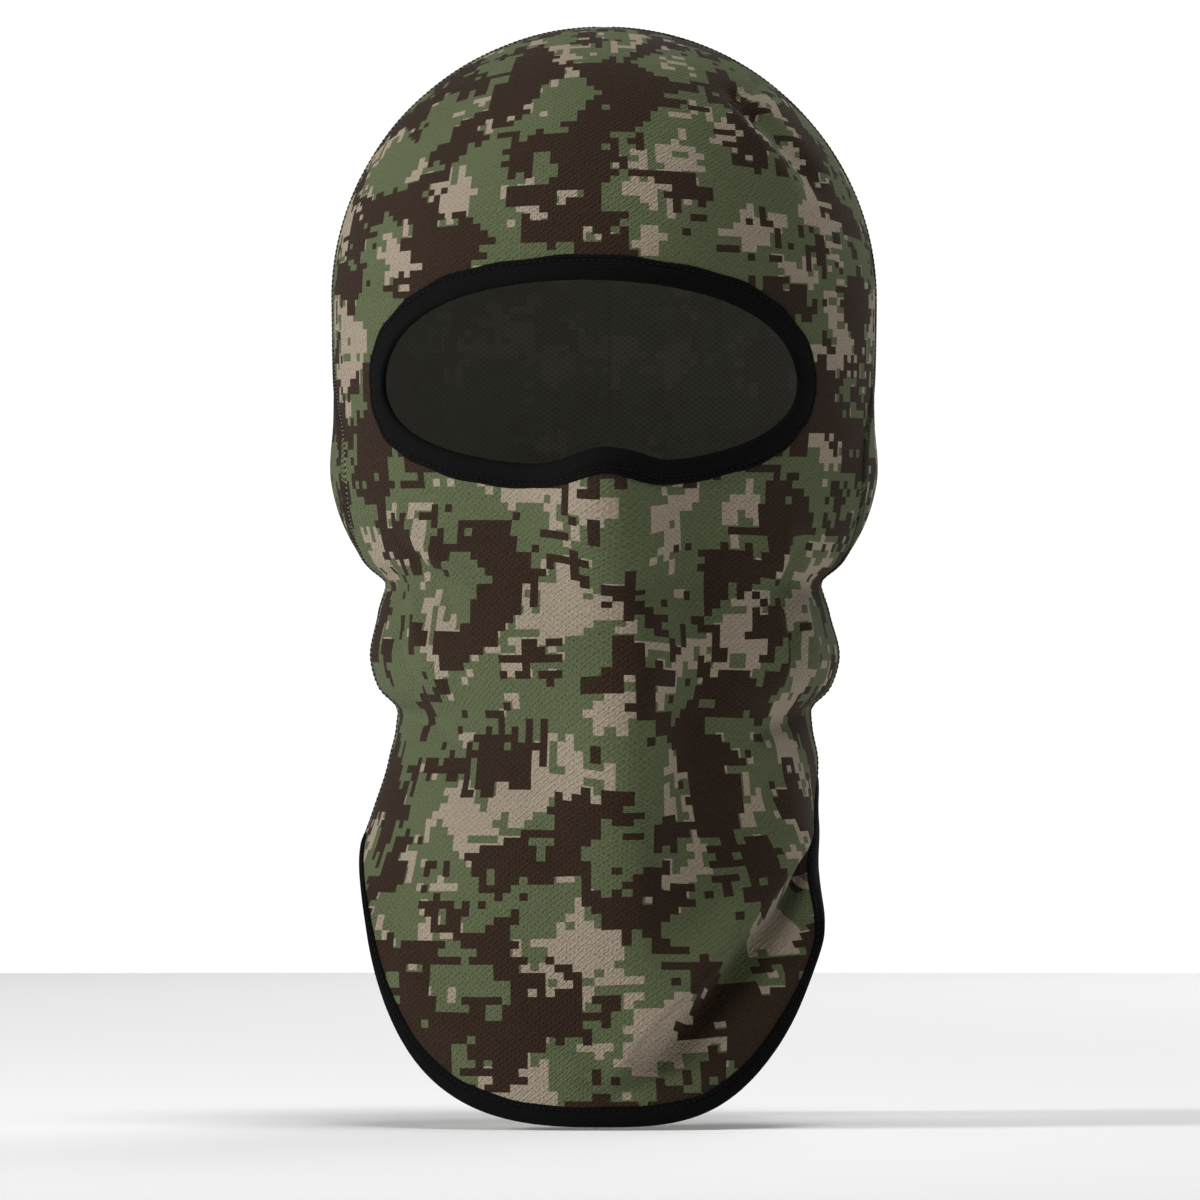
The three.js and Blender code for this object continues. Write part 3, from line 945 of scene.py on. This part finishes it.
HALF = math.pi / 2
for side, flap, joint, start, stop in (
    ("front", "bib", "bib_lift", -HALF, HALF),
    ("back", "nape", "nape_lift", HALF, 3 * HALF),
):
    steps = even_steps(hem_place, start, stop, TAPE_STEP)
    strip = sweep(f"hem_tape_{side}", tape_rings(hem_place, steps, HEM_TAPE, HEM_DIP), tape, closed=False)
    stitches = stitch_row(f"hem_stitches_{side}", hem_place, start, stop, HEM_DIP, black)
    bend(strip)
    bend(stitches)
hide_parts("hem_binding_bib", "hem_binding_left", "hem_binding_right")
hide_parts("hem_stitch_bib", "hem_stitch_left", "hem_stitch_right")
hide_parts("hem_binding_nape")
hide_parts("hem_stitch_nape")

seam_pieces = []
for name, turn_at, hem_turn, nodes in (
    ("left", left_turn, -HALF, ["side_seam_left"]),
    ("right", side_turn, HALF, ["side_seam_right"]),
    ("back", back_turn, math.pi, ["back_seam", "nape_seam"]),
):
    lowest = hem_place(hem_turn, HEM_TAPE * 0.6)[1]
    ridge = seam_ridge(f"seam_ridge_{name}", turn_at, CROWN_PATH + 1 * MM, lowest, camo, inner)
    threads = seam_threads(f"seam_threads_{name}", turn_at, CROWN_PATH + 3 * MM, lowest - 2 * MM, flatlock)
    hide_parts(*nodes)
    for piece in (ridge, threads):
        if name == "back":
            bend(piece)
        else:
            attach(piece, "hood")
    seam_pieces += [ridge, threads]

label = satin_label("neck_label", satin())
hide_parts("care_label")
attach(label, "hood")


# ---------------------------------------------------------------- camera and light

AIM = (-1.2 * MM, 0, -90 * MM)
CAMERA_AWAY = 6.0


def front_camera():
    """A long lens straight in front of the face."""
    camera = bpy.data.cameras.new("camera")
    camera.lens = 600
    camera.sensor_width = 36
    camera.clip_end = 30
    holder = bpy.data.objects.new("camera", camera)
    bpy.context.scene.collection.objects.link(holder)
    holder.location = (AIM[0], -CAMERA_AWAY, AIM[2])
    holder.rotation_euler = (math.pi / 2, 0, 0)
    bpy.context.scene.camera = holder


def area_light(name, place, size, aim, power):
    """A square soft light of so many watts that faces aim."""
    light = bpy.data.lights.new(name, "AREA")
    light.size = size
    light.energy = power
    lamp = bpy.data.objects.new(name, light)
    bpy.context.scene.collection.objects.link(lamp)
    lamp.location = place
    lamp.rotation_euler = (Vector(aim) - Vector(place)).to_track_quat("-Z", "Y").to_euler()


def soft_world(dim, bright, fill):
    """A room that is dim overhead and bright from eye level down. It gives fill times the light it shows."""
    world = bpy.data.worlds.new("world")
    world.use_nodes = True
    nodes, links = world.node_tree.nodes, world.node_tree.links
    where = nodes.new("ShaderNodeTexCoord")
    parts = nodes.new("ShaderNodeSeparateXYZ")
    strength = nodes.new("ShaderNodeMapRange")
    strength.interpolation_type = "SMOOTHSTEP"
    for socket, value in (("From Min", 0.05), ("From Max", 0.16), ("To Min", bright), ("To Max", dim)):
        strength.inputs[socket].default_value = value
    links.new(where.outputs["Generated"], parts.inputs[0])
    links.new(parts.outputs[2], strength.inputs["Value"])
    seen = nodes.new("ShaderNodeLightPath")
    share = nodes.new("ShaderNodeMapRange")
    share.inputs["To Min"].default_value = fill
    links.new(seen.outputs["Is Camera Ray"], share.inputs["Value"])
    total = nodes.new("ShaderNodeMath")
    total.operation = "MULTIPLY"
    links.new(strength.outputs[0], total.inputs[0])
    links.new(share.outputs[0], total.inputs[1])
    links.new(total.outputs[0], nodes["Background"].inputs["Strength"])
    nodes["Background"].inputs["Color"].default_value = (1, 1, 1, 1)
    bpy.context.scene.world = world


def pale_floor():
    """A plain round floor, just under the lowest point of the hem."""
    bpy.ops.object.select_all(action="DESELECT")
    bpy.ops.mesh.primitive_circle_add(vertices=96, radius=2.4, fill_type="NGON")
    floor = bpy.context.object
    floor.name = "floor"
    edit(floor, lambda: bpy.ops.transform.translate(value=(0, 0, cad_box[0][2] - 1 * MM)))
    paper = Finish("paper", roughness=0.9, specular=0.1)
    paper.set("Base Color", (0.88, 0.88, 0.88, 1))
    paper.set("Emission Color", (1, 1, 1, 1))
    paper.set("Emission Strength", 0.08)
    floor.data.materials.append(paper.material)


front_camera()
pale_floor()
soft_world(0.10, 1.05, 0.60)
area_light("key", (-2.8, -1.0, 1.1), 0.9, AIM, 76)
area_light("top", (0.3, -0.4, 2.6), 1.2, AIM, 38)
area_light("back", (0.9, 2.6, 1.4), 1.5, AIM, 34)
bpy.context.scene.view_settings.view_transform = "Standard"
